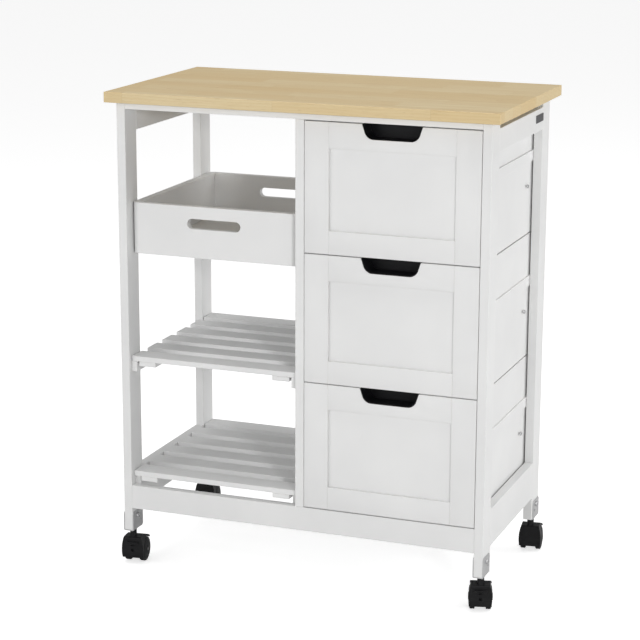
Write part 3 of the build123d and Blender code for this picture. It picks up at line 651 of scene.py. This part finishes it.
# %% A domed head with a cross recess
def cross_head(bm, centre, axis, radius, height, recess):
    """A domed screw head. Its base lies on centre and it stands out along axis."""
    grid = bmesh.ops.create_grid(bm, x_segments=3, y_segments=3, size=1.0)["verts"]
    arm, slim = radius * 0.52, radius * 0.17
    for vert in grid:
        for index in (0, 1):
            sign = math.copysign(1.0, vert.co[index])
            vert.co[index] = sign * (arm if abs(vert.co[index]) > 0.6 else slim)
    outside = [face for vert in grid for face in vert.link_faces
               if face.calc_center_median().xy.length > arm * 0.8
               and min(abs(face.calc_center_median().x), abs(face.calc_center_median().y)) > slim]
    bmesh.ops.delete(bm, geom=list(set(outside)), context="FACES")
    grid = [vert for vert in grid if vert.is_valid and vert.link_faces]
    loose = [vert for vert in bm.verts if not vert.link_edges]
    bmesh.ops.delete(bm, geom=loose, context="VERTS")
    cross = list({face for vert in grid for face in vert.link_faces})
    bmesh.ops.translate(bm, vec=(0.0, 0.0, height), verts=grid)
    border = [edge for face in cross for edge in face.edges if len(edge.link_faces) == 1]
    made = list(grid)
    for share, level in ((0.72, 0.96), (0.90, 0.72), (1.0, 0.30), (1.0, 0.0)):
        pulled = bmesh.ops.extrude_edge_only(bm, edges=border)["geom"]
        border = [item for item in pulled if isinstance(item, bmesh.types.BMEdge)]
        ring = [item for item in pulled if isinstance(item, bmesh.types.BMVert)]
        for vert in ring:
            out = Vector((vert.co.x, vert.co.y, 0.0)).normalized() * radius * share
            vert.co = (out.x, out.y, height * level)
        made += ring
    sunk = bmesh.ops.extrude_face_region(bm, geom=cross)["geom"]
    bottom = [item for item in sunk if isinstance(item, bmesh.types.BMVert)]
    bmesh.ops.delete(bm, geom=[f for f in cross if f.is_valid], context="FACES_ONLY")
    bmesh.ops.translate(bm, vec=(0.0, 0.0, -recess), verts=bottom)
    made += bottom
    turn = Vector(axis).to_track_quat("Z", "Y").to_matrix().to_4x4()
    made = [vert for vert in made if vert.is_valid]
    bmesh.ops.transform(bm, matrix=Matrix.Translation(centre) @ turn, verts=made)


def shank(bm, start, end, radius):
    """A plain round bar between two points."""
    along = Vector(end) - Vector(start)
    turn = along.to_track_quat("Z", "Y").to_matrix().to_4x4()
    place = Matrix.Translation((Vector(start) + Vector(end)) / 2) @ turn
    bmesh.ops.create_cone(bm, cap_ends=True, segments=20, radius1=radius, radius2=radius,
                          depth=along.length, matrix=place)


# %% Drawer stop screws
STOP_HEAD = 3.5 * MM
STOP_HEIGHT = 2.6 * MM
STOP_SHANK = 1.75 * MM
STOP_LENGTH = 11.5 * MM
STOP_RECESS = 1.4 * MM
for place in DRAWERS:
    low, high = corners(f"drawer_{place}_stop_screws")
    centre_y, centre_z = (low.y + high.y) / 2, (low.z + high.z) / 2
    bm = bmesh.new()
    for end_x, side in ((low.x, -1.0), (high.x, 1.0)):
        base = Vector((end_x - side * STOP_HEIGHT, centre_y, centre_z))
        cross_head(bm, base, (side, 0.0, 0.0), STOP_HEAD, STOP_HEIGHT, STOP_RECESS)
        shank(bm, base - Vector((side * STOP_LENGTH, 0.0, 0.0)), base, STOP_SHANK)
    close_piece(bm, f"drawer_{place}_cross_screws", f"drawer_{place}", "steel",
                [f"drawer_{place}_stop_screws"], zinc)

# %% Bracket bolts, found from the boxes of the four legs
BOLT_HEAD = 4.5 * MM
BOLT_HEIGHT = 2.6 * MM
BOLT_SHANK = 2.5 * MM
BOLT_RECESS = 1.5 * MM
BRACKET_STEEL = 1.5 * MM
bolt_low, bolt_high = corners("bracket_bolts")
bolt_z = (bolt_low.z + bolt_high.z) / 2
bm = bmesh.new()
for side_name in ("front_left", "front_right", "rear_left", "rear_right"):
    low, high = corners(f"leg_{side_name}")
    bolt_y = bolt_low.y + BOLT_HEAD if side_name.startswith("front") else bolt_high.y - BOLT_HEAD
    for face_x, side in ((low.x, -1.0), (high.x, 1.0)):
        base = Vector((face_x + side * BRACKET_STEEL, bolt_y, bolt_z))
        cross_head(bm, base, (side, 0.0, 0.0), BOLT_HEAD, BOLT_HEIGHT, BOLT_RECESS)
    shank(bm, (low.x - BRACKET_STEEL, bolt_y, bolt_z), (high.x + BRACKET_STEEL, bolt_y, bolt_z),
          BOLT_SHANK)
close_piece(bm, "bracket_dome_bolts", "frame", "steel", ["bracket_bolts"], zinc)

# %% [markdown]
# ## Caster wheels
# Each caster has two wheels side by side. A wheel is a flat hard tread with two
# shallow grooves, and a domed cover with a raised ring and a hub cap on its outer
# face. One profile on the lathe makes all of it, and the tread band gets the greyer
# plastic afterwards by its distance from the axle.

# %% Lathe the wheel pairs
# Each pair is a distance along the axle and a radius, in millimetres.
WHEEL_PROFILE = (
    (9.1, 2.56), (9.1, 6.0), (10.4, 7.0), (10.4, 17.0), (9.1, 18.0), (9.1, 20.2), (9.9, 21.0),
    (11.6, 21.0), (11.9, 20.6), (12.3, 20.6), (12.6, 21.0), (14.2, 21.0), (14.5, 20.6),
    (14.9, 20.6), (15.2, 21.0), (16.3, 21.0), (17.1, 20.4), (17.7, 18.6), (17.75, 17.9),
    (18.25, 17.5), (18.9, 14.5), (19.3, 11.5), (19.35, 10.8), (19.05, 10.3), (19.4, 8.2),
    (19.55, 6.4), (20.1, 6.0), (20.25, 5.2), (20.3, 3.2), (20.1, 2.56), (9.1, 2.56))
TREAD_FROM = 20.3 * MM
TREAD_END = 16.6 * MM
WHEEL_STEPS = 56
joints = {joint["name"]: joint for joint in frame["record"]["behaviour"]["joints"]}
CASTERS = ("front_left", "front_right", "rear_left", "rear_right")
for corner in CASTERS:
    low, high = corners(f"caster_{corner}_wheels")
    centre = (low + high) / 2
    axle = Vector(joints[f"caster_{corner}_roll"]["axis"]).normalized()
    bm = bmesh.new()
    for side in (-1.0, 1.0):
        profile = [(along * MM, radius * MM) for along, radius in WHEEL_PROFILE]
        lathe(bm, profile, centre, axle * side, WHEEL_STEPS)
    for face in bm.faces:
        middle = face.calc_center_median() - centre
        along = abs(middle.dot(axle))
        far = math.sqrt(max(middle.length_squared - along * along, 0.0))
        face.material_index = 1 if far > TREAD_FROM and along < TREAD_END else 0
    close_piece(bm, f"caster_{corner}_twin_wheels", f"caster_{corner}_wheel_pair",
                "caster_plastic", [f"caster_{corner}_wheels"], caster_black, tread_grey, smooth=30.0)

# %% [markdown]
# ## Brake tabs
# The front casters have a foot tab like a brow across the hood. It is a short bar,
# bowed forwards at the middle, with three grip ribs across its front. It is one block cut
# into columns that are pushed out along a shallow arc, then eased.

# %% Shape the brake tabs
TAB_HALF = 11.0 * MM
TAB_LOW = 36.0 * MM
TAB_HIGH = 41.0 * MM
TAB_FRONT = -10.6 * MM
TAB_BACK = -7.8 * MM
NECK_BACK = -5.2 * MM
NECK_HALF = 2.4 * MM
TAB_COLUMNS = 8
TAB_BOW = 0.9 * MM
RIB = 0.35 * MM
RIB_LEVELS = (0.30, 0.55, 0.80)
RIB_REACH = 0.55
TAB_EASE = 0.7 * MM
NECK_EASE = 0.3 * MM
for corner in ("front_left", "front_right"):
    bm = bmesh.new()
    board(bm, (-TAB_HALF, TAB_FRONT + TAB_BOW, TAB_LOW), (TAB_HALF, TAB_BACK, TAB_HIGH),
          TAB_EASE, 0, 3)
    for column in range(1, TAB_COLUMNS):
        x = TAB_HALF * (2 * column / TAB_COLUMNS - 1)
        bmesh.ops.bisect_plane(bm, geom=bm.verts[:] + bm.edges[:] + bm.faces[:],
                               plane_co=(x, 0.0, 0.0), plane_no=(1.0, 0.0, 0.0))
    for vert in bm.verts:
        share = vert.co.x / TAB_HALF
        if vert.co.y < TAB_BACK - 1.0 * MM:
            vert.co.y -= TAB_BOW * (1.0 - share * share)
    for level in RIB_LEVELS:
        z = TAB_LOW + (TAB_HIGH - TAB_LOW) * level
        board(bm, (-TAB_HALF * RIB_REACH, TAB_FRONT - RIB, z - RIB),
              (TAB_HALF * RIB_REACH, TAB_FRONT + RIB * 3, z + RIB), RIB * 0.6)
    board(bm, (-NECK_HALF, TAB_BACK - 0.6 * MM, TAB_LOW + 1.0 * MM),
          (NECK_HALF, NECK_BACK, TAB_HIGH - 1.0 * MM), NECK_EASE)
    stem = Vector(joints[f"caster_{corner}_turn"]["pos_m"])
    axle = joints[f"caster_{corner}_roll"]["axis"]
    turn = Matrix.Rotation(math.atan2(axle[1], axle[0]), 4, "Z")
    move = Matrix.Translation((stem.x, stem.y, 0.0))
    bmesh.ops.transform(bm, matrix=move @ turn, verts=bm.verts)
    close_piece(bm, f"caster_{corner}_brake_tab", f"caster_{corner}_brake_lever",
                "caster_plastic", [f"caster_{corner}_brake"], caster_black)

# %% [markdown]
# ## The plain plate on the side
# A small dark plate sits near the top of the right side. Its face is sunk inside a
# narrow raised border, and a pin holds it at each end. Nothing is written on it.

# %% Label plate
PLATE_CORNER = 1.5 * MM
PLATE_BORDER = 0.7 * MM
PLATE_SUNK = 0.25 * MM
PIN_INSET = 3.2 * MM
PIN_HIGH = 0.26 * MM
PIN_STEPS = 20
PIN_PROFILE = ((0.0, 1.1 * MM), (0.14 * MM, 1.05 * MM), (0.24 * MM, 0.7 * MM), (PIN_HIGH, 0.0))
low, high = corners("side_plate")
bm = bmesh.new()
bmesh.ops.create_cube(bm, size=1.0)
bmesh.ops.scale(bm, vec=high - low, verts=bm.verts)
bmesh.ops.translate(bm, vec=(low + high) / 2, verts=bm.verts)
across = [edge for edge in bm.edges if abs((edge.verts[0].co - edge.verts[1].co).x) > 0.5 * MM]
bmesh.ops.bevel(bm, geom=across, offset=PLATE_CORNER, segments=5, **EASE)
outer = [face for face in bm.faces if face.normal.x > 0.9]
bmesh.ops.inset_region(bm, faces=outer, thickness=PLATE_BORDER, depth=0.0)
bmesh.ops.inset_region(bm, faces=outer, thickness=PLATE_SUNK, depth=-PLATE_SUNK)
for y in (low.y + PIN_INSET, high.y - PIN_INSET):
    foot = (high.x - PIN_HIGH, y, (low.z + high.z) / 2)
    lathe(bm, PIN_PROFILE, foot, (1.0, 0.0, 0.0), PIN_STEPS)
close_piece(bm, "side_dark_plate", "frame", "label_plate", ["side_plate"], dark_plate)

# %% [markdown]
# ## Floor, light and camera
# The cart stands on a plain pale floor. There are four area lights. A small low key
# from the front right throws the shadow of the divider on the shelves. Wide panels
# fill from the front left and from the right, and one hangs overhead. An even sky
# does the rest. The floor and the sky look white to the camera, as a studio sweep
# does, without lighting the cart more than they should.

# %% Pale floor
FLOOR_HALF = 40.0
FLOOR_GLOW = 0.62
bm = bmesh.new()
bmesh.ops.create_grid(bm, x_segments=1, y_segments=1, size=FLOOR_HALF)
floor_mesh = bpy.data.meshes.new("floor")
bm.to_mesh(floor_mesh)
bm.free()
floor = bpy.data.objects.new("floor", floor_mesh)
scene.collection.objects.link(floor)
floor_paint, tree, shader, place = new_material("pale floor")
shader.inputs["Base Color"].default_value = (0.84, 0.84, 0.84, 1.0)
shader.inputs["Roughness"].default_value = 0.8
glow = add(tree, "Emission")
put(tree, glow.inputs["Color"], (1.0, 1.0, 1.0, 1.0))
seen = add(tree, "LightPath")
put(tree, glow.inputs["Strength"], calc(tree, "MULTIPLY", seen.outputs["Is Camera Ray"], FLOOR_GLOW))
both = add(tree, "AddShader")
put(tree, both.inputs[0], shader.outputs[0])
put(tree, both.inputs[1], glow.outputs[0])
put(tree, tree.nodes["Material Output"].inputs["Surface"], both.outputs[0])
finish(floor, floor_paint)
print("floor", FLOOR_HALF * 2, "m wide")

# %% Sky
SKY_LIGHT = 0.36
world = bpy.data.worlds.new("studio")
world.use_nodes = True
scene.world = world
sky = world.node_tree
for old in list(sky.nodes):
    sky.nodes.remove(old)
even = add(sky, "Background")
put(sky, even.inputs["Color"], (1.0, 1.0, 1.0, 1.0))
seen = add(sky, "LightPath")
extra = calc(sky, "MULTIPLY", seen.outputs["Is Camera Ray"], 1.0 - SKY_LIGHT)
put(sky, even.inputs["Strength"], calc(sky, "ADD", extra, SKY_LIGHT))
out = sky.nodes.new("ShaderNodeOutputWorld")
put(sky, out.inputs["Surface"], even.outputs[0])
print("sky", SKY_LIGHT)


# %% Four soft lights
def soft_light(name, place, target, size, power):
    """A square soft light turned to a target."""
    data = bpy.data.lights.new(name, "AREA")
    data.size = size
    data.energy = power
    lamp = bpy.data.objects.new(name, data)
    lamp.location = place
    aim = Vector(target) - Vector(place)
    lamp.rotation_euler = aim.to_track_quat("-Z", "Y").to_euler()
    scene.collection.objects.link(lamp)
    print(name, power, "W")


TARGET = (0.0, 0.0, 0.45)
soft_light("key", (2.28, -3.16, 1.38), TARGET, 0.45, 40.0)
soft_light("front fill", (-1.9, -3.6, 1.5), TARGET, 3.0, 42.0)
soft_light("right fill", (3.4, 1.1, 1.2), TARGET, 2.0, 46.0)
soft_light("overhead", (0.0, 0.0, 3.4), TARGET, 2.6, 44.0)

# %% Camera
SENSOR = 36.0
LENS = 115.32
CAMERA_PLACE = (1.179, -3.1701, 1.2581)
CAMERA_DOWN = 13.842
CAMERA_TURN = 20.855
CAMERA_ROLL = 0.198
camera_data = bpy.data.cameras.new("camera")
camera_data.sensor_width = SENSOR
camera_data.lens = LENS
camera = bpy.data.objects.new("camera", camera_data)
camera.location = CAMERA_PLACE
look = Euler((math.radians(90.0 - CAMERA_DOWN), 0.0, math.radians(CAMERA_TURN)), "XYZ")
roll = Matrix.Rotation(math.radians(CAMERA_ROLL), 3, "Z")
camera.rotation_euler = (look.to_matrix() @ roll).to_euler()
scene.collection.objects.link(camera)
scene.camera = camera
scene.view_settings.view_transform = "Standard"
print("camera at", tuple(camera.location))
